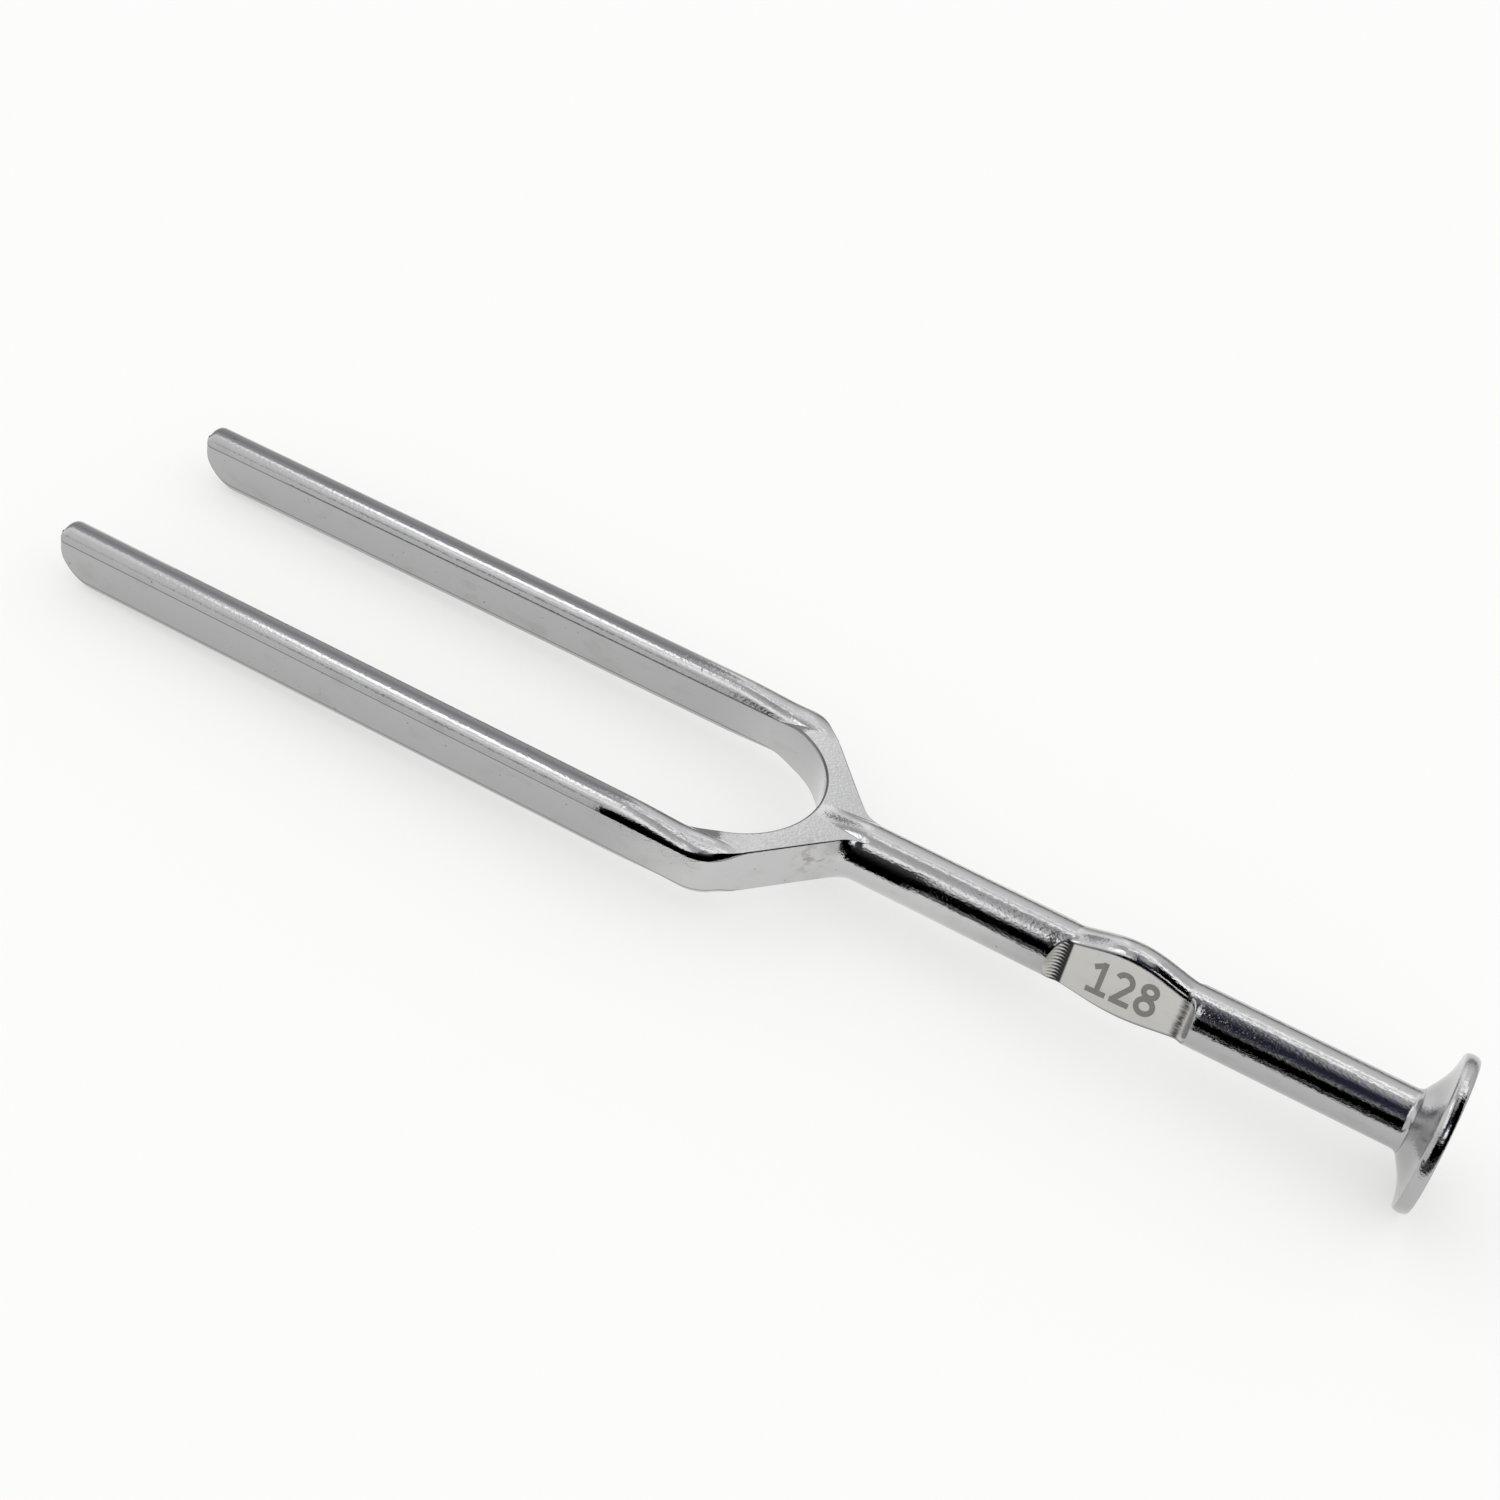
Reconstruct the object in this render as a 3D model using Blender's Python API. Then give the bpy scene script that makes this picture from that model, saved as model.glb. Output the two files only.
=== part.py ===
"""Tuning fork with a pressed thumb pad and a flared foot.

The fork lies in the XY plane: +X runs from the foot's flat sole to the prong tips, +Y is
towards the left prong and +Z is up.  The origin is the centre of the sole.  All sizes are in
metres.  Every body is built from patches, which are grids of points that share their borders.
"""
import math

import bmesh
import bpy

MM = 0.001

# Stem and foot
STEM_RADIUS = 4.0 * MM
FOOT_RADIUS = 10.5 * MM
FOOT_HEIGHT = 4.2 * MM
RIM_THICKNESS = 2.0 * MM
RIM_ROUNDING = 0.5 * MM
CONE_START_ANGLE = 0.6
COLLAR_RADIUS = 4.5 * MM
CONE_HOLLOW = 0.45 * MM
TENON_RADIUS = 1.9 * MM
TENON_END_X = 1.6 * MM
GAP = 0.3 * MM
SHOULDER_X = FOOT_HEIGHT + GAP
FLARE = 0.4 * MM
FLARE_LENGTH = 0.9 * MM

# Thumb pad: two flats pressed into the stem, whose metal bulges up and down between them
PAD_START_X = 33.5 * MM
PAD_END_X = 49.5 * MM
PAD_HALF_THICKNESS = 2.0 * MM
UPPER_RAMP_LENGTH = 2.0 * MM
LOWER_RAMP_LENGTH = 1.4 * MM
BULGE_HEIGHT = 1.45 * MM
BULGE_RISE = 0.35 * MM
BULGE_EXPONENT = 1.3
NARROWEST_SIDE = math.radians(6.0)
SIDE_ANGLE = math.radians(55.0)
RELAX_LENGTH = 16.0 * MM

# Prongs: flat sides under domed top and bottom edges
FORK_LENGTH = 192.0 * MM
PRONG_GAP = 26.5 * MM
PRONG_THICKNESS = 4.9 * MM
PRONG_HEIGHT = 8.4 * MM
SIDE_FLAT_HEIGHT = 4.9 * MM
TIP_TOP_ROUNDING = 1.0 * MM
TIP_BOTTOM_ROUNDING = 5.0 * MM
TIP_EDGE_ROUNDING = 1.0 * MM
TIP_END_TOP = 3.4 * MM
TIP_END_BOTTOM = 3.2 * MM
ROOT_X = 106.0 * MM

# Yoke: a round U inside, shoulders that run down to the neck outside.  The domed arms run on
# straight beside a flat web, whose height the inner and outer edges reach one after the other.
BEND_RADIUS = PRONG_GAP / 2
BEND_X = 99.4 * MM
CORNER_X = 93.0 * MM
CORNER_RADIUS = 5.5 * MM
SHOULDER_ANGLE = math.radians(50.0)
NECK_RADIUS = 4.0 * MM
INNER_EDGE_LEVEL = math.radians(26.0)
OUTER_EDGE_START = math.radians(25.0)
OUTER_EDGE_LEVEL = math.radians(39.0)
FOLD_RELAX_END = math.radians(60.0)
MIDDLE = 0.5
FOLD_MARGIN = 0.3 * MM
DOME_FADE_START_X = 106.0 * MM
DOME_FADE_END_X = 84.0 * MM
ROUNDING_START_X = 84.0 * MM

# Chrome plating
CHROME_COLOUR = (0.60, 0.60, 0.61)
CHROME_ROUGHNESS = 0.12

# Mesh resolution
WALL_ROWS = 6
DOME_ROWS = 6
WEB_ROWS = 3
NECK_COLUMNS = 6
CORNER_STEPS = 5
SHOULDER_STEPS = 4
NECK_STEPS = 4
STEM_STEP = 6.0 * MM
PAD_STEP = 1.0 * MM
RAMP_STEPS = 4
FLARE_STEPS = 3
TIP_STEPS = 10
FOOT_SEGMENTS = 48
RIM_ARC_STEPS = 3
CONE_STEPS = 5
STRAIGHT_STEPS = 3
WELD_DISTANCE = 0.0001 * MM
SHARP_ANGLE = math.radians(20)

OUTER_Y = PRONG_GAP / 2 + PRONG_THICKNESS
CREASE_Z = SIDE_FLAT_HEIGHT / 2
DOME_RISE = (PRONG_HEIGHT - SIDE_FLAT_HEIGHT) / 2
HALF_THICKNESS = PRONG_THICKNESS / 2
DOME_RADIUS = (DOME_RISE ** 2 + HALF_THICKNESS ** 2) / (2 * DOME_RISE)
DOME_HALF_ANGLE = math.asin(HALF_THICKNESS / DOME_RADIUS)
EDGE_Y = STEM_RADIUS * math.cos(SIDE_ANGLE)
EDGE_Z = STEM_RADIUS * math.sin(SIDE_ANGLE)
SLOPE_FOOT_X = CORNER_X - (OUTER_Y - EDGE_Y) / math.tan(SHOULDER_ANGLE)
NECK_X = SLOPE_FOOT_X - NECK_RADIUS * math.tan(SHOULDER_ANGLE / 2)


def smooth(value):
    """Ease from 0 to 1, clamped outside."""
    value = min(1.0, max(0.0, value))
    return value * value * (3 - 2 * value)


def mix(a, b, share):
    return a + (b - a) * share


def steps(start, end, count):
    return [mix(start, end, i / count) for i in range(count + 1)]


def arc(centre_x, centre_y, radius, start, end, count):
    """Points round a centre, with angles counted from +Y towards -X."""
    points = []
    for angle in steps(start, end, count):
        x = centre_x - radius * math.sin(angle)
        y = centre_y + radius * math.cos(angle)
        points.append((x, y))
    return points


# ---------------------------------------------------------------- outlines of the yoke
def shoulder_outline():
    """Top view of the left arm's outer edge, from the prong root down to the neck."""
    tangent = CORNER_RADIUS * math.tan(SHOULDER_ANGLE / 2)
    straight = [(x, OUTER_Y) for x in steps(ROOT_X, BEND_X, STRAIGHT_STEPS)]
    corner = arc(CORNER_X + tangent, OUTER_Y - CORNER_RADIUS, CORNER_RADIUS, 0.0, SHOULDER_ANGLE,
                 CORNER_STEPS)
    neck = arc(NECK_X, EDGE_Y + NECK_RADIUS, -NECK_RADIUS, SHOULDER_ANGLE, 0.0, NECK_STEPS)
    slope = []
    for share in steps(0.0, 1.0, SHOULDER_STEPS)[1:-1]:
        slope.append((mix(corner[-1][0], neck[0][0], share), mix(corner[-1][1], neck[0][1], share)))
    return straight + corner + slope + neck


def bend_angle(x, y):
    """How far round the U a point of the outline is; negative along the straight prong."""
    if x >= BEND_X:
        return -(x - BEND_X) / BEND_RADIUS
    return math.atan2(BEND_X - x, y)


def inner_point(x, angle):
    if angle <= 0.0:
        return (x, BEND_RADIUS)
    return (BEND_X - BEND_RADIUS * math.sin(angle), BEND_RADIUS * math.cos(angle))


def dome_height(offset):
    """Height of the domed edge's arc above its creases, at an offset from one of them."""
    across = min(offset, PRONG_THICKNESS) - HALF_THICKNESS
    return math.sqrt(DOME_RADIUS ** 2 - across ** 2) - (DOME_RADIUS - DOME_RISE)


def fold_share(inner, outer, inner_z, angle):
    """Where along a line across the yoke the web folds up into the arm's dome."""
    across = math.sqrt(DOME_RADIUS ** 2 - (inner_z - CREASE_Z + DOME_RADIUS - DOME_RISE) ** 2)
    fold_y = OUTER_Y - HALF_THICKNESS - across
    margin = FOLD_MARGIN / math.dist(inner, outer)
    share = (fold_y - inner[1]) / (outer[1] - inner[1])
    share = min(1 - margin, max(margin, share))
    relax = smooth((angle - OUTER_EDGE_LEVEL) / (FOLD_RELAX_END - OUTER_EDGE_LEVEL))
    return mix(share, MIDDLE, relax)


def yoke_columns():
    """One entry per line across the yoke, from the left root round the U to the right root."""
    left = []
    for x, y in shoulder_outline():
        angle = bend_angle(x, y)
        inner = inner_point(x, angle)
        inner_z = mix(CREASE_Z, EDGE_Z, smooth(angle / INNER_EDGE_LEVEL))
        outer_rise = (angle - OUTER_EDGE_START) / (OUTER_EDGE_LEVEL - OUTER_EDGE_START)
        left.append({"inner": inner, "outer": (x, y), "inner_z": inner_z,
                     "outer_z": mix(CREASE_Z, EDGE_Z, smooth(outer_rise)), "crown": 0.0,
                     "fold": fold_share(inner, (x, y), inner_z, angle),
                     "roundness": smooth((ROUNDING_START_X - x) / (ROUNDING_START_X - NECK_X))})
    start = bend_angle(NECK_X, EDGE_Y)
    middle = []
    for share in steps(0.0, 1.0, NECK_COLUMNS)[1:-1]:
        angle = mix(start, math.pi - start, share)
        ring = mix(SIDE_ANGLE, math.pi - SIDE_ANGLE, share)
        middle.append({"inner": inner_point(0.0, angle), "inner_z": EDGE_Z, "outer_z": EDGE_Z,
                       "outer": (NECK_X, STEM_RADIUS * math.cos(ring)), "fold": MIDDLE,
                       "crown": STEM_RADIUS * math.sin(ring) - EDGE_Z, "roundness": 1.0})
    right = []
    for column in reversed(left):
        mirrored = dict(column)
        mirrored["inner"] = (column["inner"][0], -column["inner"][1])
        mirrored["outer"] = (column["outer"][0], -column["outer"][1])
        right.append(mirrored)
    return left, middle, right


def yoke_height(column, x, y, share):
    """Height of the upper face: the arm's dome fades into the web and falls to the outer edge."""
    from_edge = min(math.dist((x, y), column["outer"]), HALF_THICKNESS)
    from_side = max(OUTER_Y - abs(y), HALF_THICKNESS)
    dome = CREASE_Z + dome_height(from_edge) + dome_height(from_side) - DOME_RISE
    strength = smooth((x - DOME_FADE_END_X) / (DOME_FADE_START_X - DOME_FADE_END_X))
    level = mix(column["inner_z"], max(column["inner_z"], dome), strength)
    limit = column["outer_z"] + dome_height(from_edge)
    return min(level, limit) + column["crown"] * smooth(share)


def top_line(column, side):
    """Points across the yoke's upper (side 1) or lower (side -1) face, from the inside out."""
    inner = column["inner"]
    outer = column["outer"]
    shares = steps(0.0, column["fold"], WEB_ROWS)
    for angle in steps(-DOME_HALF_ANGLE, DOME_HALF_ANGLE, DOME_ROWS)[1:]:
        share = (math.sin(angle) / math.sin(DOME_HALF_ANGLE) + 1) / 2
        shares.append(mix(column["fold"], 1.0, share))
    points = []
    for share in shares:
        x = mix(inner[0], outer[0], share)
        y = mix(inner[1], outer[1], share)
        points.append((x, y, side * yoke_height(column, x, y, share)))
    return points


def inner_line(column):
    edge = column["inner_z"]
    return [(column["inner"][0], column["inner"][1], z) for z in steps(edge, -edge, WALL_ROWS)]


def outer_line(column):
    """Down the outer side: a flat wall that turns into the side of the round stem."""
    sign = math.copysign(1.0, column["outer"][1])
    edge = column["outer_z"]
    points = []
    for share in steps(1.0, -1.0, WALL_ROWS):
        angle = share * SIDE_ANGLE
        swell = (STEM_RADIUS * math.cos(angle) - EDGE_Y) * column["roundness"]
        z = mix(edge * share, STEM_RADIUS * math.sin(angle), column["roundness"])
        points.append((column["outer"][0], column["outer"][1] + sign * swell, z))
    return points


# ---------------------------------------------------------------- the stem
def pad_flat_y(x):
    """How far the pad's flat is from the axis; the ramps at its ends rise past the surface."""
    share = max((PAD_START_X - x) / LOWER_RAMP_LENGTH, (x - PAD_END_X) / UPPER_RAMP_LENGTH, 0.0)
    return mix(PAD_HALF_THICKNESS, STEM_RADIUS, share ** 2)


def pad_bulge(x):
    share = (x - PAD_START_X) / (PAD_END_X - PAD_START_X)
    if share <= 0.0 or share >= 1.0:
        return 0.0
    return math.sin(math.pi * share) ** BULGE_EXPONENT


def side_angle(x):
    """Angle of the line where the side of the stem meets its upper sector."""
    flat = pad_flat_y(x)
    if flat < STEM_RADIUS * math.cos(NARROWEST_SIDE):
        return math.acos(flat / STEM_RADIUS)
    beyond = max(PAD_START_X - LOWER_RAMP_LENGTH - x, x - PAD_END_X - UPPER_RAMP_LENGTH)
    return mix(NARROWEST_SIDE, SIDE_ANGLE, smooth(beyond / RELAX_LENGTH))


def stem_radius(x):
    """The stem flares a little where it meets the foot."""
    share = max(0.0, 1 - (x - SHOULDER_X) / FLARE_LENGTH)
    return STEM_RADIUS + FLARE * share ** 2


def stem_ring(x):
    """Closed ring: left side, upper sector, right side, lower sector."""
    radius = stem_radius(x)
    limit = side_angle(x)
    flat = pad_flat_y(x)
    is_pad = flat < STEM_RADIUS * math.cos(NARROWEST_SIDE)
    height = radius + BULGE_HEIGHT * pad_bulge(x)
    rise = BULGE_RISE * pad_bulge(x)
    angles = steps(-limit, limit, WALL_ROWS)[:-1]
    angles += steps(limit, math.pi - limit, NECK_COLUMNS)[:-1]
    angles += steps(math.pi - limit, math.pi + limit, WALL_ROWS)[:-1]
    angles += steps(math.pi + limit, 2 * math.pi - limit, NECK_COLUMNS)[:-1]
    ring = []
    for angle in angles:
        y = radius * math.cos(angle)
        if is_pad:
            y = min(flat, max(-flat, y))
        ring.append((x, y, height * math.sin(angle) + rise))
    return ring


def stem_stations():
    """Places along the stem, from the foot's shoulder to the neck, closer together at the pad."""
    pad_steps = round((PAD_END_X - PAD_START_X) / PAD_STEP)
    lower_end = PAD_START_X - LOWER_RAMP_LENGTH
    upper_start = PAD_END_X + UPPER_RAMP_LENGTH
    flare_end = SHOULDER_X + FLARE_LENGTH
    stations = steps(SHOULDER_X, flare_end, FLARE_STEPS)[:-1]
    stations += steps(flare_end, lower_end, round((lower_end - flare_end) / STEM_STEP))[:-1]
    stations += steps(lower_end, PAD_START_X, RAMP_STEPS)[:-1]
    stations += steps(PAD_START_X, PAD_END_X, pad_steps)[:-1]
    stations += steps(PAD_END_X, upper_start, RAMP_STEPS)[:-1]
    stations += steps(upper_start, NECK_X, round((NECK_X - upper_start) / STEM_STEP))
    return stations


# ---------------------------------------------------------------- the prongs
def tip_drop(x, rounding):
    """How far a rounded corner of the tip has fallen away at x."""
    beyond = max(0.0, x - (FORK_LENGTH - rounding))
    return rounding - math.sqrt(max(0.0, rounding ** 2 - beyond ** 2))


def prong_edge(x, rounding, end_z):
    """Heights of the crest and of the crease below it; both curve to the tip's end."""
    share = tip_drop(x, rounding) / rounding
    return mix(PRONG_HEIGHT / 2, end_z, share), mix(CREASE_Z, end_z, share)


def dome_profile(width, rise, count):
    """Shares across the width and heights of an arc over it."""
    if rise < WELD_DISTANCE:
        return [(share, 0.0) for share in steps(0.0, 1.0, count)]
    half_angle = 2 * math.atan2(rise, width / 2)
    radius = width / 2 / math.sin(half_angle)
    profile = []
    for angle in steps(-half_angle, half_angle, count):
        height = radius * (math.cos(angle) - math.cos(half_angle))
        profile.append((0.5 + radius * math.sin(angle) / width, height))
    return profile


def prong_loop(x, sign):
    """Closed section of a prong."""
    inset = tip_drop(x, TIP_EDGE_ROUNDING)
    inner_y = PRONG_GAP / 2 + inset
    width = PRONG_THICKNESS - 2 * inset
    crest, crease = prong_edge(x, TIP_TOP_ROUNDING, TIP_END_TOP)
    low_crest, low_crease = prong_edge(x, TIP_BOTTOM_ROUNDING, -TIP_END_BOTTOM)
    upper = []
    for share, rise in dome_profile(width, crest - crease, DOME_ROWS):
        upper.append((x, sign * (inner_y + share * width), crease + rise))
    lower = []
    for share, rise in reversed(dome_profile(width, low_crest - low_crease, DOME_ROWS)):
        lower.append((x, sign * (inner_y + share * width), -low_crease - rise))
    outer = [(x, sign * (inner_y + width), z) for z in steps(crease, -low_crease, WALL_ROWS)]
    inner = [(x, sign * inner_y, z) for z in steps(-low_crease, crease, WALL_ROWS)]
    return upper[:-1] + outer[:-1] + lower[:-1] + inner[:-1]


def prong_stations():
    tip_start = FORK_LENGTH - TIP_BOTTOM_ROUNDING
    stations = [ROOT_X + GAP / 2, tip_start]
    for angle in steps(0.0, math.pi / 2, TIP_STEPS)[1:]:
        stations.append(tip_start + TIP_BOTTOM_ROUNDING * math.sin(angle))
    return stations


# ---------------------------------------------------------------- meshes
def add_patch(mesh, rows):
    """Quads between neighbouring rows of points."""
    grid = [[mesh.verts.new(point) for point in row] for row in rows]
    for row, following in zip(grid[:-1], grid[1:]):
        for i in range(len(row) - 1):
            mesh.faces.new((row[i], row[i + 1], following[i + 1], following[i]))


def add_tube(mesh, rings, cap_start=True, cap_end=True):
    """Quads round a list of closed rings, with flat caps where they are asked for."""
    grid = [[mesh.verts.new(point) for point in ring] for ring in rings]
    for ring, following in zip(grid[:-1], grid[1:]):
        for i in range(len(ring)):
            j = (i + 1) % len(ring)
            mesh.faces.new((ring[i], ring[j], following[j], following[i]))
    if cap_start:
        mesh.faces.new(grid[0])
    if cap_end:
        mesh.faces.new(grid[-1])


def finish_object(mesh, name, colour, roughness):
    """Weld the patches, point the faces outwards and give the object its own material."""
    bmesh.ops.remove_doubles(mesh, verts=mesh.verts, dist=WELD_DISTANCE)
    bmesh.ops.recalc_face_normals(mesh, faces=mesh.faces)
    data = bpy.data.meshes.new(name)
    mesh.to_mesh(data)
    mesh.free()
    data.shade_smooth()
    data.set_sharp_from_angle(angle=SHARP_ANGLE)
    material = bpy.data.materials.new(name)
    material.use_nodes = True
    shader = material.node_tree.nodes["Principled BSDF"]
    shader.inputs["Base Color"].default_value = (*colour, 1.0)
    shader.inputs["Metallic"].default_value = 1.0
    shader.inputs["Roughness"].default_value = roughness
    data.materials.append(material)
    thing = bpy.data.objects.new(name, data)
    bpy.context.scene.collection.objects.link(thing)
    return thing


def arm_end_loop(column):
    """Section of the yoke where a prong meets it."""
    upper = top_line(column, 1)
    lower = top_line(column, -1)
    outer = outer_line(column)
    inner = inner_line(column)
    return upper[:-1] + outer[:-1] + lower[::-1][:-1] + inner[::-1][:-1]


def build_yoke_and_stem():
    mesh = bmesh.new()
    left, middle, right = yoke_columns()
    columns = left + middle + right
    add_patch(mesh, [top_line(column, 1) for column in columns])
    add_patch(mesh, [top_line(column, -1) for column in columns])
    add_patch(mesh, [inner_line(column) for column in columns])
    add_patch(mesh, [outer_line(column) for column in left])
    add_patch(mesh, [outer_line(column) for column in right])
    for column in (left[0], right[-1]):
        mesh.faces.new([mesh.verts.new(point) for point in arm_end_loop(column)])
    rings = [tenon_ring(TENON_END_X), tenon_ring(SHOULDER_X)]
    rings += [stem_ring(x) for x in stem_stations()]
    add_tube(mesh, rings, cap_end=False)
    return finish_object(mesh, "yoke_and_stem", CHROME_COLOUR, CHROME_ROUGHNESS)


def tenon_ring(x):
    shrink = TENON_RADIUS / stem_radius(SHOULDER_X)
    return [(x, y * shrink, z * shrink) for _, y, z in stem_ring(SHOULDER_X)]


def build_prong(name, sign):
    """A prong swings about an upright axis at its root, so its origin sits there."""
    mesh = bmesh.new()
    add_tube(mesh, [prong_loop(x, sign) for x in prong_stations()])
    pivot = (ROOT_X, sign * (PRONG_GAP + PRONG_THICKNESS) / 2, 0.0)
    bmesh.ops.translate(mesh, verts=mesh.verts, vec=[-value for value in pivot])
    prong = finish_object(mesh, name, CHROME_COLOUR, CHROME_ROUGHNESS)
    prong.location = pivot
    return prong


def foot_profile():
    """Distance along the axis and radius, from the centre of the sole round to the bore."""
    low = arc_profile(RIM_ROUNDING, math.pi, math.pi / 2)
    high = arc_profile(RIM_THICKNESS - RIM_ROUNDING, math.pi / 2, CONE_START_ANGLE)
    cone = []
    for share in steps(0.0, 1.0, CONE_STEPS)[1:]:
        x = mix(high[-1][0], FOOT_HEIGHT, share) - CONE_HOLLOW * math.sin(math.pi * share)
        cone.append((x, mix(high[-1][1], COLLAR_RADIUS, share)))
    bore_radius = TENON_RADIUS + GAP
    bore_end_x = TENON_END_X - GAP
    return low + high + cone + [(FOOT_HEIGHT, bore_radius), (bore_end_x, bore_radius)]


def arc_profile(centre_x, start, end):
    """Quarter round on the rim, with angles counted from +X towards the rim."""
    points = []
    for angle in steps(start, end, RIM_ARC_STEPS):
        points.append((centre_x + RIM_ROUNDING * math.cos(angle),
                       FOOT_RADIUS - RIM_ROUNDING + RIM_ROUNDING * math.sin(angle)))
    return points


def build_foot():
    mesh = bmesh.new()
    rings = []
    for x, radius in foot_profile():
        ring = []
        for i in range(FOOT_SEGMENTS):
            angle = 2 * math.pi * i / FOOT_SEGMENTS
            ring.append((x, radius * math.cos(angle), radius * math.sin(angle)))
        rings.append(ring)
    add_tube(mesh, rings)
    return finish_object(mesh, "foot", CHROME_COLOUR, CHROME_ROUGHNESS)


def main():
    for thing in list(bpy.data.objects):
        bpy.data.objects.remove(thing)
    build_yoke_and_stem()
    build_prong("prong_left", 1)
    build_prong("prong_right", -1)
    build_foot()


main()
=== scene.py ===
"""Chrome tuning fork lying on a pale studio floor.

The row frame: +X runs from the foot's sole to the prong tips, +Y is towards the left prong and
+Z is up.  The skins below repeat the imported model's formulas at a much finer resolution, with
rounded edges, and stand for its nodes.  All sizes are in metres.
"""

import math

import bmesh
import bpy
from mathutils import Matrix, Vector
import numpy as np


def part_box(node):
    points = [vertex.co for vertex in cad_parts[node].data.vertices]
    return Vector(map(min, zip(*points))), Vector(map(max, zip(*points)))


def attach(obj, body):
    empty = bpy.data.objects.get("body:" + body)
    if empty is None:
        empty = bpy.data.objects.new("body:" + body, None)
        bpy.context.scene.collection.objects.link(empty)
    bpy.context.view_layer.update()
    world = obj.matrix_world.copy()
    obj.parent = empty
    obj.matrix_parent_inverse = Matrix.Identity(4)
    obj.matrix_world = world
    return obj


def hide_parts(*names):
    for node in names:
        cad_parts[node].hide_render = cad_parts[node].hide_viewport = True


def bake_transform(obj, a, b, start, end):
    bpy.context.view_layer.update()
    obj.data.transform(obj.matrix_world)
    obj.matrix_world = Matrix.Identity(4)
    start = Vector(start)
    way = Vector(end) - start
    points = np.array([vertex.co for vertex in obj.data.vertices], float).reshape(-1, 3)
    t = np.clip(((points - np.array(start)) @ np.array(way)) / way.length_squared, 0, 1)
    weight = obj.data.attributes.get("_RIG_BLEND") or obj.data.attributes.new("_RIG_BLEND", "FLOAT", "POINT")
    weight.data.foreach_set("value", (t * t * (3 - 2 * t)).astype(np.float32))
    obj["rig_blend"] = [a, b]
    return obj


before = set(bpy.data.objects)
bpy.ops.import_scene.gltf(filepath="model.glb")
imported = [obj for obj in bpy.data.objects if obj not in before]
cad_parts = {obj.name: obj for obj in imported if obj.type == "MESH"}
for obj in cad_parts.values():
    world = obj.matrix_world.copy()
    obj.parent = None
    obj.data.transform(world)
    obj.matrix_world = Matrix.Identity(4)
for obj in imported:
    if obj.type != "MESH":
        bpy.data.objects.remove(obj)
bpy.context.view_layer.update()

MM = 0.001

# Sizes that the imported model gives
YOKE_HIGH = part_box("yoke_and_stem")[1]
PRONG_LOW, PRONG_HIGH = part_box("prong_left")
FOOT_LOW, FOOT_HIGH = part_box("foot")
FORK_LENGTH = PRONG_HIGH.x
ROOT_X = YOKE_HIGH.x
PRONG_GAP = 2 * PRONG_LOW.y
PRONG_THICKNESS = PRONG_HIGH.y - PRONG_LOW.y
PRONG_HEIGHT = PRONG_HIGH.z - PRONG_LOW.z
OUTER_Y = PRONG_HIGH.y
FOOT_RADIUS = FOOT_HIGH.z
FOOT_HEIGHT = FOOT_HIGH.x

# Stem and foot
STEM_RADIUS = 4.0 * MM
RIM_THICKNESS = 2.0 * MM
RIM_DEPTH = 0.5 * MM
RIM_END_ANGLE = math.radians(155.0)
COLLAR_RADIUS = 4.5 * MM
CONE_HOLLOW = 0.45 * MM
TENON_RADIUS = 1.9 * MM
TENON_END_X = 1.6 * MM
GAP = 0.3 * MM
JOINT_LINE = 0.02 * MM
SHOULDER_X = FOOT_HEIGHT + JOINT_LINE
FLARE = 0.4 * MM
FLARE_LENGTH = 0.9 * MM

# Thumb pad
PAD_START_X = 33.5 * MM
PAD_END_X = 49.5 * MM
PAD_HALF_THICKNESS = 2.0 * MM
UPPER_RAMP_LENGTH = 2.0 * MM
LOWER_RAMP_LENGTH = 1.4 * MM
BULGE_HEIGHT = 1.45 * MM
BULGE_RISE = 0.35 * MM
BULGE_EXPONENT = 1.3
NARROWEST_SIDE = math.radians(6.0)
SIDE_ANGLE = math.radians(55.0)
RELAX_LENGTH = 16.0 * MM

# Prongs and yoke
SIDE_FLAT_HEIGHT = 4.9 * MM
TIP_TOP_ROUNDING = 1.0 * MM
TIP_BOTTOM_ROUNDING = 5.0 * MM
TIP_EDGE_ROUNDING = 1.0 * MM
TIP_END_TOP = 3.4 * MM
TIP_END_BOTTOM = 3.2 * MM
BEND_RADIUS = PRONG_GAP / 2
BEND_X = 99.4 * MM
CORNER_X = 93.0 * MM
CORNER_RADIUS = 5.5 * MM
SHOULDER_ANGLE = math.radians(50.0)
NECK_RADIUS = 4.0 * MM
INNER_EDGE_LEVEL = math.radians(26.0)
OUTER_EDGE_START = math.radians(25.0)
OUTER_EDGE_LEVEL = math.radians(39.0)
FOLD_RELAX_END = math.radians(60.0)
MIDDLE = 0.5
FOLD_MARGIN = 0.3 * MM
FOLD_SOFTNESS = 0.15 * MM
DOME_FADE_START_X = 106.0 * MM
DOME_FADE_END_X = 84.0 * MM
ROUNDING_START_X = 84.0 * MM
CREASE_Z = SIDE_FLAT_HEIGHT / 2
DOME_RISE = (PRONG_HEIGHT - SIDE_FLAT_HEIGHT) / 2
HALF_THICKNESS = PRONG_THICKNESS / 2
DOME_RADIUS = (DOME_RISE ** 2 + HALF_THICKNESS ** 2) / (2 * DOME_RISE)
DOME_HALF_ANGLE = math.asin(HALF_THICKNESS / DOME_RADIUS)
EDGE_Y = STEM_RADIUS * math.cos(SIDE_ANGLE)
EDGE_Z = STEM_RADIUS * math.sin(SIDE_ANGLE)
SLOPE_FOOT_X = CORNER_X - (OUTER_Y - EDGE_Y) / math.tan(SHOULDER_ANGLE)
NECK_X = SLOPE_FOOT_X - NECK_RADIUS * math.tan(SHOULDER_ANGLE / 2)

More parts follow.
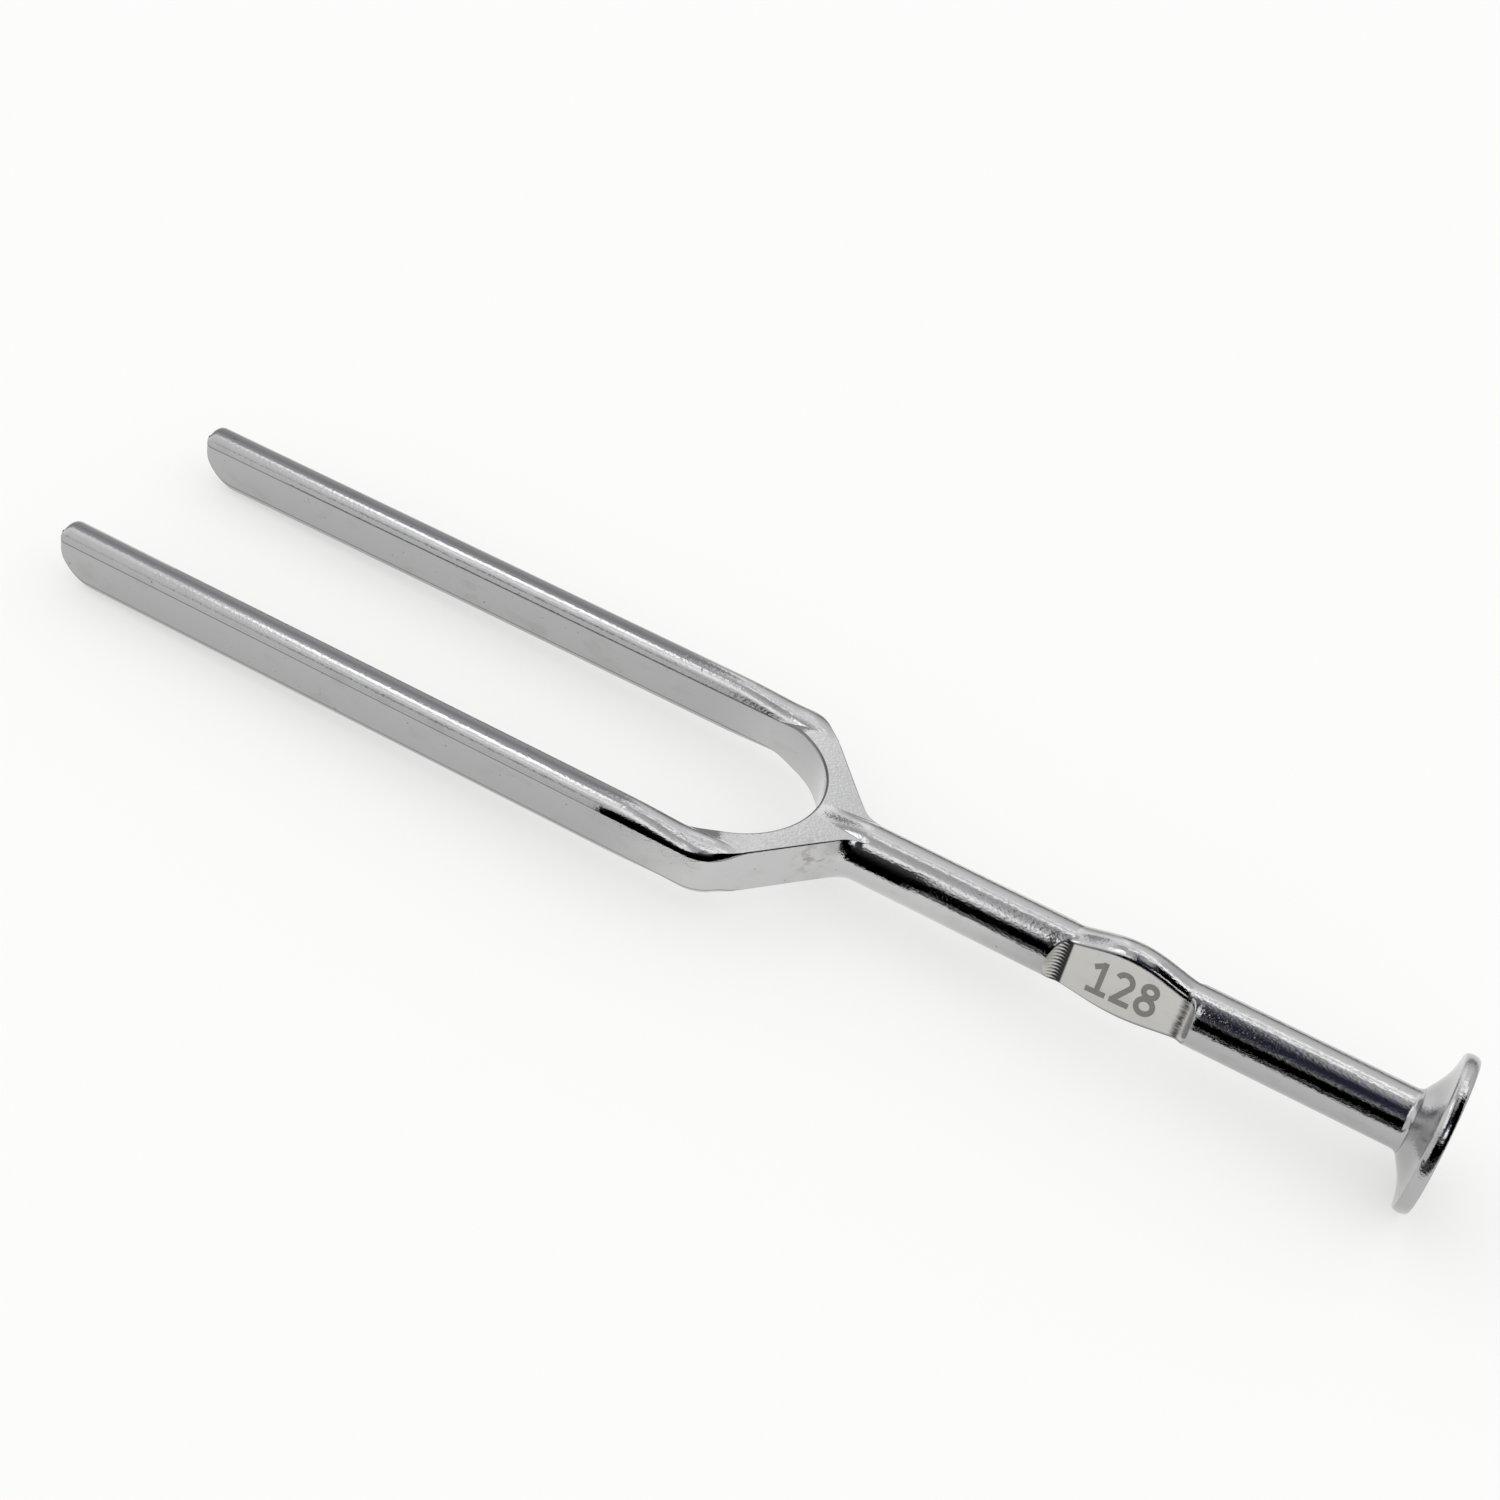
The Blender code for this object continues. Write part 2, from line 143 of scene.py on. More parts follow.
# Rounded edges: along the prongs, inside the U, and at the two ends of the pad's flats
EDGE_CUT = 0.14 * MM
SHOULDER_CUT = 0.24 * MM
BEND_CUT = 0.35 * MM
BEND_CUT_LEVEL = math.radians(30.0)
PAD_CUT_START = 0.60 * MM
PAD_CUT_END = 0.22 * MM
PAD_EDGE_DEPTH = 0.4 * MM

# How finely the skins are divided
EDGE_STEPS = 6
GUARD_SHARE = 0.25
WALL_ROWS = 14
DOME_ROWS = 22
WEB_ROWS = 12
NECK_COLUMNS = 24
CORNER_STEPS = 24
SHOULDER_STEPS = 24
NECK_STEPS = 16
STRAIGHT_STEPS = 14
STEM_STEP = 0.8 * MM
FLARE_STEPS = 8
PAD_STEP = 0.4 * MM
RAMP_STEPS = 14
PRONG_STEP = 1.5 * MM
TIP_STEPS = 28
RIM_STEPS = 24
CONE_STEPS = 24
FOOT_SEGMENTS = 180

# The number on the pad's left flat; its strokes are laid out in shares of its height
NUMBER_START_X = 45.92 * MM
NUMBER_BASE_Z = -2.62 * MM
NUMBER_HEIGHT = 5.5 * MM
NUMBER_WIDTH_SCALE = 4.45 * MM
NUMBER_SLOPE = 0.03
NUMBER_RELIEF = 0.015 * MM
RELIEF_STEP = 0.1
DIGIT_PITCH = 0.70
HALF_STROKE = 0.08

# Limits for the rounding of short sides, and the shortest length that counts
LARGEST_CUT_SHARE = 0.4
TINY = 1e-9

# How a skin's strips are joined, and where its shading breaks
WELD_DISTANCE = 2e-7
SLIVER_LENGTH = 1e-8
SHARP_ANGLE = math.radians(50)

# A face belongs to the pad when it is this near the flat and faces sideways
PAD_FACE_DISTANCE = 0.02 * MM
PAD_FACE_LEAN = 0.3

# How the prong skins bend: still at the root, and fully with the prong's body further out
BEND_LENGTH = 55.0 * MM


# ---------------------------------------------------------------- small helpers
def smooth(value):
    """Ease from 0 to 1, clamped outside."""
    value = min(1.0, max(0.0, value))
    return value * value * (3 - 2 * value)


def mix(a, b, share):
    return a + (b - a) * share


def steps(start, end, count):
    return [mix(start, end, i / count) for i in range(count + 1)]


def arc(centre_x, centre_y, radius, start, end, count):
    """Points round a centre, with angles counted from +Y towards -X."""
    points = []
    for angle in steps(start, end, count):
        x = centre_x - radius * math.sin(angle)
        y = centre_y + radius * math.cos(angle)
        points.append((x, y))
    return points


def trimmed(line, first_cut, last_cut, guarded):
    """The line shortened at both ends; a guarded one gets an extra point close to each end."""
    distances = [0.0]
    for point, following in zip(line[:-1], line[1:]):
        distances.append(distances[-1] + math.dist(point, following))
    total = distances[-1]
    first_cut = min(first_cut, LARGEST_CUT_SHARE * total)
    last_cut = min(last_cut, LARGEST_CUT_SHARE * total)
    squeeze = (total - first_cut - last_cut) / total
    places = [first_cut + distance * squeeze for distance in distances]
    if guarded:
        places.insert(1, mix(places[0], places[1], GUARD_SHARE))
        places.insert(-1, mix(places[-1], places[-2], GUARD_SHARE))
    points = []
    i = 0
    for place in places:
        while i < len(line) - 2 and distances[i + 1] < place:
            i += 1
        share = (place - distances[i]) / max(distances[i + 1] - distances[i], TINY)
        points.append(tuple(mix(a, b, share) for a, b in zip(line[i], line[i + 1])))
    return points


def rounded_section(sides, cuts, guards, closed):
    """Join the sides of a section with small curves; marks tell how near a corner a point is.

    cuts holds the size of the curve after each side.
    """
    count = len(sides)
    points = []
    marks = []
    for i, side in enumerate(sides):
        cut_before = cuts[i - 1] if i or closed else 0.0
        cut_after = cuts[i] if i < count - 1 or closed else 0.0
        line = trimmed(side, cut_before, cut_after, guards[i])
        points += line
        marks += [0.0] * len(line)
        if i == count - 1 and not closed:
            break
        following = trimmed(sides[(i + 1) % count], cuts[i], cuts[(i + 1) % count], False)
        start = Vector(line[-1])
        corner = Vector(side[-1])
        end = Vector(following[0])
        for share in steps(0.0, 1.0, EDGE_STEPS)[1:-1]:
            spot = start * (1 - share) ** 2 + corner * 2 * share * (1 - share) + end * share ** 2
            points.append(tuple(spot))
            marks.append(1 - abs(2 * share - 1))
    return points, marks


# ---------------------------------------------------------------- the yoke
def shoulder_outline():
    """Top view of the left arm's outer edge, from the prong root down to the neck."""
    tangent = CORNER_RADIUS * math.tan(SHOULDER_ANGLE / 2)
    corner = arc(CORNER_X + tangent, OUTER_Y - CORNER_RADIUS, CORNER_RADIUS, 0.0, SHOULDER_ANGLE,
                 CORNER_STEPS)
    straight = [(x, OUTER_Y) for x in steps(ROOT_X, corner[0][0], STRAIGHT_STEPS)[:-1]]
    neck = arc(NECK_X, EDGE_Y + NECK_RADIUS, -NECK_RADIUS, SHOULDER_ANGLE, 0.0, NECK_STEPS)
    slope = []
    for share in steps(0.0, 1.0, SHOULDER_STEPS)[1:-1]:
        slope.append((mix(corner[-1][0], neck[0][0], share), mix(corner[-1][1], neck[0][1], share)))
    return straight + corner + slope + neck


def bend_angle(x, y):
    """How far round the U a point of the outline is; negative along the straight prong."""
    if x >= BEND_X:
        return -(x - BEND_X) / BEND_RADIUS
    return math.atan2(BEND_X - x, y)


def inner_point(x, angle):
    if angle <= 0.0:
        return (x, BEND_RADIUS)
    return (BEND_X - BEND_RADIUS * math.sin(angle), BEND_RADIUS * math.cos(angle))


def dome_height(offset):
    """Height of the domed edge's arc above its creases, at an offset from one of them."""
    across = min(offset, PRONG_THICKNESS) - HALF_THICKNESS
    return math.sqrt(DOME_RADIUS ** 2 - across ** 2) - (DOME_RADIUS - DOME_RISE)


def soft_max(a, b):
    """The larger value, with the crossing eased over a short height."""
    near = max(0.0, 1 - abs(a - b) / FOLD_SOFTNESS)
    return max(a, b) + FOLD_SOFTNESS * near ** 2 / 4


def fold_share(inner, outer, inner_z, angle):
    """Where along a line across the yoke the web folds up into the arm's dome."""
    across = math.sqrt(DOME_RADIUS ** 2 - (inner_z - CREASE_Z + DOME_RADIUS - DOME_RISE) ** 2)
    fold_y = OUTER_Y - HALF_THICKNESS - across
    margin = FOLD_MARGIN / math.dist(inner, outer)
    share = (fold_y - inner[1]) / (outer[1] - inner[1])
    share = min(1 - margin, max(margin, share))
    relax = smooth((angle - OUTER_EDGE_LEVEL) / (FOLD_RELAX_END - OUTER_EDGE_LEVEL))
    return mix(share, MIDDLE, relax)


def yoke_columns():
    """One entry per line across the yoke, from the left root round the U to the right root."""
    left = []
    for x, y in shoulder_outline():
        angle = bend_angle(x, y)
        inner = inner_point(x, angle)
        inner_z = mix(CREASE_Z, EDGE_Z, smooth(angle / INNER_EDGE_LEVEL))
        outer_rise = (angle - OUTER_EDGE_START) / (OUTER_EDGE_LEVEL - OUTER_EDGE_START)
        left.append({"inner": inner, "outer": (x, y), "inner_z": inner_z,
                     "outer_z": mix(CREASE_Z, EDGE_Z, smooth(outer_rise)), "crown": 0.0,
                     "fold": fold_share(inner, (x, y), inner_z, angle),
                     "cut": mix(EDGE_CUT, BEND_CUT, smooth(angle / BEND_CUT_LEVEL)),
                     "outer_cut": mix(EDGE_CUT, SHOULDER_CUT, smooth(outer_rise)),
                     "roundness": smooth((ROUNDING_START_X - x) / (ROUNDING_START_X - NECK_X))})
    start = bend_angle(NECK_X, EDGE_Y)
    middle = []
    for share in steps(0.0, 1.0, NECK_COLUMNS)[1:-1]:
        angle = mix(start, math.pi - start, share)
        ring = mix(SIDE_ANGLE, math.pi - SIDE_ANGLE, share)
        middle.append({"inner": inner_point(0.0, angle), "inner_z": EDGE_Z, "outer_z": EDGE_Z,
                       "outer": (NECK_X, STEM_RADIUS * math.cos(ring)), "fold": MIDDLE,
                       "crown": STEM_RADIUS * math.sin(ring) - EDGE_Z, "cut": BEND_CUT,
                       "roundness": 1.0})
    right = []
    for column in reversed(left):
        mirrored = dict(column)
        mirrored["inner"] = (column["inner"][0], -column["inner"][1])
        mirrored["outer"] = (column["outer"][0], -column["outer"][1])
        right.append(mirrored)
    return left, middle, right


def yoke_height(column, x, y, share):
    """Height of the upper face: the arm's dome fades into the web and falls to the outer edge."""
    from_edge = min(math.dist((x, y), column["outer"]), HALF_THICKNESS)
    from_side = max(OUTER_Y - abs(y), HALF_THICKNESS)
    dome = CREASE_Z + dome_height(from_edge) + dome_height(from_side) - DOME_RISE
    strength = smooth((x - DOME_FADE_END_X) / (DOME_FADE_START_X - DOME_FADE_END_X))
    level = mix(column["inner_z"], soft_max(column["inner_z"], dome), strength)
    limit = column["outer_z"] + dome_height(from_edge)
    return min(level, limit) + column["crown"] * smooth(share)


def top_line(column, side):
    """Points across the yoke's upper (side 1) or lower (side -1) face, from the inside out."""
    inner = column["inner"]
    outer = column["outer"]
    shares = steps(0.0, column["fold"], WEB_ROWS)
    for angle in steps(-DOME_HALF_ANGLE, DOME_HALF_ANGLE, DOME_ROWS)[1:]:
        share = (math.sin(angle) / math.sin(DOME_HALF_ANGLE) + 1) / 2
        shares.append(mix(column["fold"], 1.0, share))
    points = []
    for share in shares:
        x = mix(inner[0], outer[0], share)
        y = mix(inner[1], outer[1], share)
        points.append((x, y, side * yoke_height(column, x, y, share)))
    return points


def inner_line(column):
    edge = column["inner_z"]
    return [(column["inner"][0], column["inner"][1], z) for z in steps(-edge, edge, WALL_ROWS)]


def outer_line(column):
    """Down the outer side: a flat wall that turns into the side of the round stem."""
    sign = math.copysign(1.0, column["outer"][1])
    edge = column["outer_z"]
    points = []
    for share in steps(1.0, -1.0, WALL_ROWS):
        angle = share * SIDE_ANGLE
        swell = (STEM_RADIUS * math.cos(angle) - EDGE_Y) * column["roundness"]
        z = mix(edge * share, STEM_RADIUS * math.sin(angle), column["roundness"])
        points.append((column["outer"][0], column["outer"][1] + sign * swell, z))
    return points


def arm_section(column):
    """Closed section of an arm, from the lower outer corner round the inside."""
    sides = [top_line(column, -1)[::-1], inner_line(column), top_line(column, 1),
             outer_line(column)]
    outer_cut = column["outer_cut"] * (1 - column["roundness"])
    cuts = (column["cut"], column["cut"], outer_cut, outer_cut)
    return rounded_section(sides, cuts, (True,) * 4, True)


def neck_section(column):
    """Open section behind the U, from the stem's lower sector round the inside to its upper."""
    sides = [top_line(column, -1)[::-1], inner_line(column), top_line(column, 1)]
    return rounded_section(sides, (column["cut"], column["cut"], 0.0), (True,) * 3, False)


# ---------------------------------------------------------------- the stem
def pad_flat_y(x):
    """How far the pad's flat is from the axis; the ramps at its ends rise past the surface."""
    share = max((PAD_START_X - x) / LOWER_RAMP_LENGTH, (x - PAD_END_X) / UPPER_RAMP_LENGTH, 0.0)
    return mix(PAD_HALF_THICKNESS, STEM_RADIUS, share ** 2)


def pad_bulge(x):
    share = (x - PAD_START_X) / (PAD_END_X - PAD_START_X)
    if share <= 0.0 or share >= 1.0:
        return 0.0
    return math.sin(math.pi * share) ** BULGE_EXPONENT


def side_angle(x):
    """Angle of the line where the side of the stem meets its upper sector."""
    flat = pad_flat_y(x)
    if flat < STEM_RADIUS * math.cos(NARROWEST_SIDE):
        return math.acos(flat / STEM_RADIUS)
    beyond = max(PAD_START_X - LOWER_RAMP_LENGTH - x, x - PAD_END_X - UPPER_RAMP_LENGTH)
    return mix(NARROWEST_SIDE, SIDE_ANGLE, smooth(beyond / RELAX_LENGTH))


def stem_radius(x):
    """The stem flares a little where it meets the foot."""
    share = max(0.0, 1 - (x - SHOULDER_X) / FLARE_LENGTH)
    return STEM_RADIUS + FLARE * share ** 2


def stem_sides(x):
    """The four sides of a ring: left side, upper sector, right side, lower sector."""
    radius = stem_radius(x)
    limit = side_angle(x)
    flat = pad_flat_y(x)
    is_pad = flat < STEM_RADIUS * math.cos(NARROWEST_SIDE)
    height = radius + BULGE_HEIGHT * pad_bulge(x)
    rise = BULGE_RISE * pad_bulge(x)
    sectors = ((-limit, limit, WALL_ROWS), (limit, math.pi - limit, NECK_COLUMNS),
               (math.pi - limit, math.pi + limit, WALL_ROWS),
               (math.pi + limit, 2 * math.pi - limit, NECK_COLUMNS))
    sides = []
    for start, end, count in sectors:
        side = []
        for angle in steps(start, end, count):
            y = radius * math.cos(angle)
            if is_pad:
                y = min(flat, max(-flat, y))
            side.append((x, y, height * math.sin(angle) + rise))
        sides.append(side)
    return sides


def stem_section(x):
    """A ring whose four corners are rounded where the pad makes them; on the stem they vanish."""
    depth = smooth((STEM_RADIUS - pad_flat_y(x)) / PAD_EDGE_DEPTH)
    along = smooth((x - PAD_START_X) / (PAD_END_X - PAD_START_X))
    cut = depth * mix(PAD_CUT_START, PAD_CUT_END, along)
    points, marks = rounded_section(stem_sides(x), (cut,) * 4, (True, False, True, False), True)
    return points, [mark * depth for mark in marks]


def tenon_section(x):
    points, marks = stem_section(SHOULDER_X)
    shrink = TENON_RADIUS / stem_radius(SHOULDER_X)
    return [(x, y * shrink, z * shrink) for _, y, z in points], marks


def stem_stations():
    """Places along the stem, from the foot's shoulder to the neck, closer together at the pad."""
    pad_steps = round((PAD_END_X - PAD_START_X) / PAD_STEP)
    lower_end = PAD_START_X - LOWER_RAMP_LENGTH
    upper_start = PAD_END_X + UPPER_RAMP_LENGTH
    flare_end = SHOULDER_X + FLARE_LENGTH
    stations = steps(SHOULDER_X, flare_end, FLARE_STEPS)[:-1]
    stations += steps(flare_end, lower_end, round((lower_end - flare_end) / STEM_STEP))[:-1]
    stations += steps(lower_end, PAD_START_X, RAMP_STEPS)[:-1]
    stations += steps(PAD_START_X, PAD_END_X, pad_steps)[:-1]
    stations += steps(PAD_END_X, upper_start, RAMP_STEPS)[:-1]
    stations += steps(upper_start, NECK_X, round((NECK_X - upper_start) / STEM_STEP))
    return stations


# ---------------------------------------------------------------- the prongs
def tip_drop(x, rounding):
    """How far a rounded corner of the tip has fallen away at x."""
    beyond = max(0.0, x - (FORK_LENGTH - rounding))
    return rounding - math.sqrt(max(0.0, rounding ** 2 - beyond ** 2))


def prong_edge(x, rounding, end_z):
    """Heights of the crest and of the crease below it; both curve to the tip's end."""
    share = tip_drop(x, rounding) / rounding
    return mix(PRONG_HEIGHT / 2, end_z, share), mix(CREASE_Z, end_z, share)


def dome_profile(width, rise, count):
    """Shares across the width and heights of an arc over it."""
    if rise < TINY:
        return [(share, 0.0) for share in steps(0.0, 1.0, count)]
    half_angle = 2 * math.atan2(rise, width / 2)
    radius = width / 2 / math.sin(half_angle)
    profile = []
    for angle in steps(-half_angle, half_angle, count):
        height = radius * (math.cos(angle) - math.cos(half_angle))
        profile.append((MIDDLE + radius * math.sin(angle) / width, height))
    return profile


def prong_section(x, sign):
    """Closed section of a prong, from the lower outer corner round the inside."""
    inset = tip_drop(x, TIP_EDGE_ROUNDING)
    inner_y = PRONG_GAP / 2 + inset
    width = PRONG_THICKNESS - 2 * inset
    crest, crease = prong_edge(x, TIP_TOP_ROUNDING, TIP_END_TOP)
    low_crest, low_crease = prong_edge(x, TIP_BOTTOM_ROUNDING, -TIP_END_BOTTOM)
    upper = []
    for share, rise in dome_profile(width, crest - crease, DOME_ROWS):
        upper.append((x, sign * (inner_y + share * width), crease + rise))
    lower = []
    for share, rise in reversed(dome_profile(width, low_crest - low_crease, DOME_ROWS)):
        lower.append((x, sign * (inner_y + share * width), -low_crease - rise))
    outer = [(x, sign * (inner_y + width), z) for z in steps(crease, -low_crease, WALL_ROWS)]
    inner = [(x, sign * inner_y, z) for z in steps(-low_crease, crease, WALL_ROWS)]
    return rounded_section([lower, inner, upper, outer], (EDGE_CUT,) * 4, (True,) * 4, True)


def prong_stations():
    tip_start = FORK_LENGTH - TIP_BOTTOM_ROUNDING
    stations = steps(ROOT_X, tip_start, round((tip_start - ROOT_X) / PRONG_STEP))
    for angle in steps(0.0, math.pi / 2, TIP_STEPS)[1:]:
        stations.append(tip_start + TIP_BOTTOM_ROUNDING * math.sin(angle))
    return stations


# ---------------------------------------------------------------- meshes
def add_points(mesh, points, marks):
    # The edge marks drive the metal's painted shade at the rounded edges and creases
    layer = mesh.verts.layers.float["edge"]
    verts = []
    for point, mark in zip(points, marks):
        vert = mesh.verts.new(point)
        vert[layer] = mark
        verts.append(vert)
    return verts


def add_strip(mesh, sections, closed):
    """Quads between neighbouring sections, each a list of points with their edge marks."""
    grid = [add_points(mesh, points, marks) for points, marks in sections]
    for line, following in zip(grid[:-1], grid[1:]):
        for i in range(len(line) if closed else len(line) - 1):
            j = (i + 1) % len(line)
            mesh.faces.new((line[i], line[j], following[j], following[i]))
    return grid


def new_mesh():
    mesh = bmesh.new()
    mesh.verts.layers.float.new("edge")
    return mesh


def finish_piece(mesh, name, materials):
    """Weld the strips, point the faces outwards and make the object."""
    bmesh.ops.remove_doubles(mesh, verts=mesh.verts, dist=WELD_DISTANCE)
    bmesh.ops.dissolve_degenerate(mesh, edges=mesh.edges, dist=SLIVER_LENGTH)
    bmesh.ops.recalc_face_normals(mesh, faces=mesh.faces)
    data = bpy.data.meshes.new(name)
    mesh.to_mesh(data)
    mesh.free()
    data.shade_smooth()
    data.set_sharp_from_angle(angle=SHARP_ANGLE)
    for material in materials:
        data.materials.append(material)
    return link_object(name, data)


def link_object(name, data):
    piece = bpy.data.objects.new(name, data)
    bpy.context.scene.collection.objects.link(piece)
    return piece


def build_yoke_and_stem(materials):
    mesh = new_mesh()
    left, middle, right = yoke_columns()
    for columns in (left, right):
        grid = add_strip(mesh, [arm_section(column) for column in columns], True)
        mesh.faces.new(grid[0] if columns is left else grid[-1])
    neck_columns = [left[-1]] + middle + [right[0]]
    add_strip(mesh, [neck_section(column) for column in neck_columns], False)
    rings = [tenon_section(TENON_END_X), tenon_section(SHOULDER_X)]
    rings += [stem_section(x) for x in stem_stations()]
    grid = add_strip(mesh, rings, True)
    mesh.faces.new(grid[0])
    piece = finish_piece(mesh, "yoke_and_stem_skin", materials)
    assign_pad_faces(piece)
    return piece


def assign_pad_faces(piece):
    """The pressed flats and their ramps have the second material."""
    for polygon in piece.data.polygons:
        x, y, z = polygon.center
        if PAD_START_X - LOWER_RAMP_LENGTH < x < PAD_END_X + UPPER_RAMP_LENGTH:
            on_flat = abs(abs(y) - pad_flat_y(x)) < PAD_FACE_DISTANCE
            if on_flat and abs(polygon.normal.z) < PAD_FACE_LEAN:
                polygon.material_index = 1


def build_prong(name, sign, materials):
    mesh = new_mesh()
    grid = add_strip(mesh, [prong_section(x, sign) for x in prong_stations()], True)
    mesh.faces.new(grid[0])
    mesh.faces.new(grid[-1])
    return finish_piece(mesh, name, materials)


def foot_profile():
    """Distance along the axis and radius, from the centre of the sole round to the bore."""
    rim = []
    for angle in steps(0.0, RIM_END_ANGLE, RIM_STEPS):
        x = RIM_THICKNESS / 2 * (1 - math.cos(angle))
        rim.append((x, FOOT_RADIUS - RIM_DEPTH * (1 - math.sin(angle))))
    cone = []
    for share in steps(0.0, 1.0, CONE_STEPS)[1:]:
        x = mix(rim[-1][0], FOOT_HEIGHT, share) - CONE_HOLLOW * math.sin(math.pi * share)
        cone.append((x, mix(rim[-1][1], COLLAR_RADIUS, share)))
    bore_radius = TENON_RADIUS + GAP
    bore = [(FOOT_HEIGHT, bore_radius), (TENON_END_X - GAP, bore_radius)]
    return rim + cone + bore


def build_foot(materials):
    mesh = new_mesh()
    rings = []
    for x, radius in foot_profile():
        ring = []
        for i in range(FOOT_SEGMENTS):
            angle = 2 * math.pi * i / FOOT_SEGMENTS
            ring.append((x, radius * math.cos(angle), radius * math.sin(angle)))
        rings.append((ring, [0.0] * FOOT_SEGMENTS))
    grid = add_strip(mesh, rings, True)
    mesh.faces.new(grid[0])
    mesh.faces.new(grid[-1])
    return finish_piece(mesh, "foot_skin", materials)


# ---------------------------------------------------------------- the marked number
def ellipse(centre_u, centre_v, radius_u, radius_v, start, end, count):
    points = []
    for angle in steps(math.radians(start), math.radians(end), count):
        points.append((centre_u + radius_u * math.cos(angle),
                       centre_v + radius_v * math.sin(angle)))
    return points


def number_strokes():
    """Centre lines of the digits 1, 2 and 8; u runs along the text and v up, in text heights."""
    one = [([(0.33, 0.0), (0.33, 1.0)], False), ([(0.05, 0.77), (0.33, 0.92)], False),
           ([(0.0, 0.08), (0.6, 0.08)], False)]
    two = [(ellipse(0.27, 0.69, 0.23, 0.23, 158.0, -22.0, 24) + [(0.12, 0.12)], False),
           ([(0.02, 0.08), (0.6, 0.08)], False)]
    eight = [(ellipse(0.32, 0.755, 0.19, 0.165, 0.0, 360.0, 32)[:-1], True),
             (ellipse(0.305, 0.30, 0.235, 0.22, 0.0, 360.0, 32)[:-1], True)]
    strokes = []
    for i, digit in enumerate((one, two, eight)):
        for path, closed in digit:
            strokes.append(([(u + i * DIGIT_PITCH, v) for u, v in path], closed))
    return strokes


def stroke_sides(path, closed):
    """The two borders of a stroke of even width."""
    count = len(path)
    borders = ([], [])
    for i, (u, v) in enumerate(path):
        before = path[(i - 1) % count] if closed or i else path[i]
        after = path[(i + 1) % count] if closed or i < count - 1 else path[i]
        length = math.dist(before, after)
        across = ((before[1] - after[1]) / length, (after[0] - before[0]) / length)
        for border, side in zip(borders, (1, -1)):
            border.append((u + side * HALF_STROKE * across[0], v + side * HALF_STROKE * across[1]))
    return borders


def build_number(material):
    """Thin plates for the strokes, sunk into the left flat of the pad.

    Each stands a little prouder than the last, so that no two faces share a plane.
    """
    mesh = bmesh.new()
    for order, (path, closed) in enumerate(number_strokes()):
        proud = PAD_HALF_THICKNESS + NUMBER_RELIEF * (1 + order * RELIEF_STEP)
        rows = []
        for border in stroke_sides(path, closed):
            for y in (proud, PAD_HALF_THICKNESS - NUMBER_RELIEF):
                row = []
                for u, v in border:
                    x = NUMBER_START_X - u * NUMBER_WIDTH_SCALE
                    z = NUMBER_BASE_Z + v * NUMBER_HEIGHT + (NUMBER_START_X - x) * NUMBER_SLOPE
                    row.append(mesh.verts.new((x, y, z)))
                rows.append(row)
        ring = (rows[0], rows[1], rows[3], rows[2])
        count = len(path)
        for i in range(count if closed else count - 1):
            j = (i + 1) % count
            for row, following in zip(ring, ring[1:] + ring[:1]):
                mesh.faces.new((row[i], row[j], following[j], following[i]))
        if not closed:
            mesh.faces.new([row[0] for row in ring])
            mesh.faces.new([row[-1] for row in ring])
    bmesh.ops.recalc_face_normals(mesh, faces=mesh.faces)
    data = bpy.data.meshes.new("frequency_number")
    mesh.to_mesh(data)
    mesh.free()
    data.materials.append(material)
    return link_object("frequency_number", data)


# ---------------------------------------------------------------- materials
CHROME = (0.47, 0.47, 0.475)
CHROME_ROUGHNESS = 0.05
CHROME_GRAIN = (0.5 * MM, 0.25 * MM, 0.25 * MM)
CHROME_RIPPLE_HEIGHT = 0.03 * MM
FORGING_GRAIN_HEIGHT = 0.023 * MM
PRONG_GRAIN_HEIGHT = 0.018 * MM
FOOT_GRAIN_HEIGHT = 0.028 * MM

PAD_METAL = (0.60, 0.595, 0.575)
PAD_ROUGHNESS = 0.24
PAD_GRAIN = (5 * MM, 0.12 * MM, 0.12 * MM)
PAD_GRAIN_HEIGHT = 0.005 * MM
PAD_RIPPLE_HEIGHT = 0.02 * MM

# Every metal: long ripples, faint stains that are a little duller, small pits, and painted shade that
# darkens the rounded edges and creases
RIPPLE_SIZE = (22 * MM, 5 * MM, 5 * MM)
STAIN_SIZE = (5 * MM, 2.5 * MM, 2.5 * MM)
STAIN_COLOUR = (0.30, 0.29, 0.27, 1.0)
STAIN_NOISE_RANGE = (0.5, 0.8)
STAIN_STRENGTH = 0.25
DULLING_NOISE_RANGE = (0.35, 0.75)
DULLING = 0.03
PIT_SIZE = (0.7 * MM, 0.5 * MM, 0.5 * MM)
PIT_COLOUR = (0.12, 0.12, 0.12, 1.0)
PIT_NOISE_RANGE = (0.74, 0.80)
PIT_STRENGTH = 0.5
# Painted shade: the colour darkens towards the rounded edges and creases, following the skins' edge marks
EDGE_STRENGTH = 0.9
EDGE_SHADE = 0.3

# The blotched patch on the yoke's left side, beside the neck
PATCH_PLACE = (83.0 * MM, 6.3 * MM, 0.8 * MM)
PATCH_RADIUS = 3.6 * MM
PATCH_CORE = 0.2
PATCH_BLOTCH_SIZE = (1.6 * MM, 1.6 * MM, 1.2 * MM)
PATCH_COLOUR = (0.22, 0.19, 0.16, 1.0)
PATCH_NOISE_RANGE = (0.46, 0.62)
PATCH_STRENGTH = 0.6
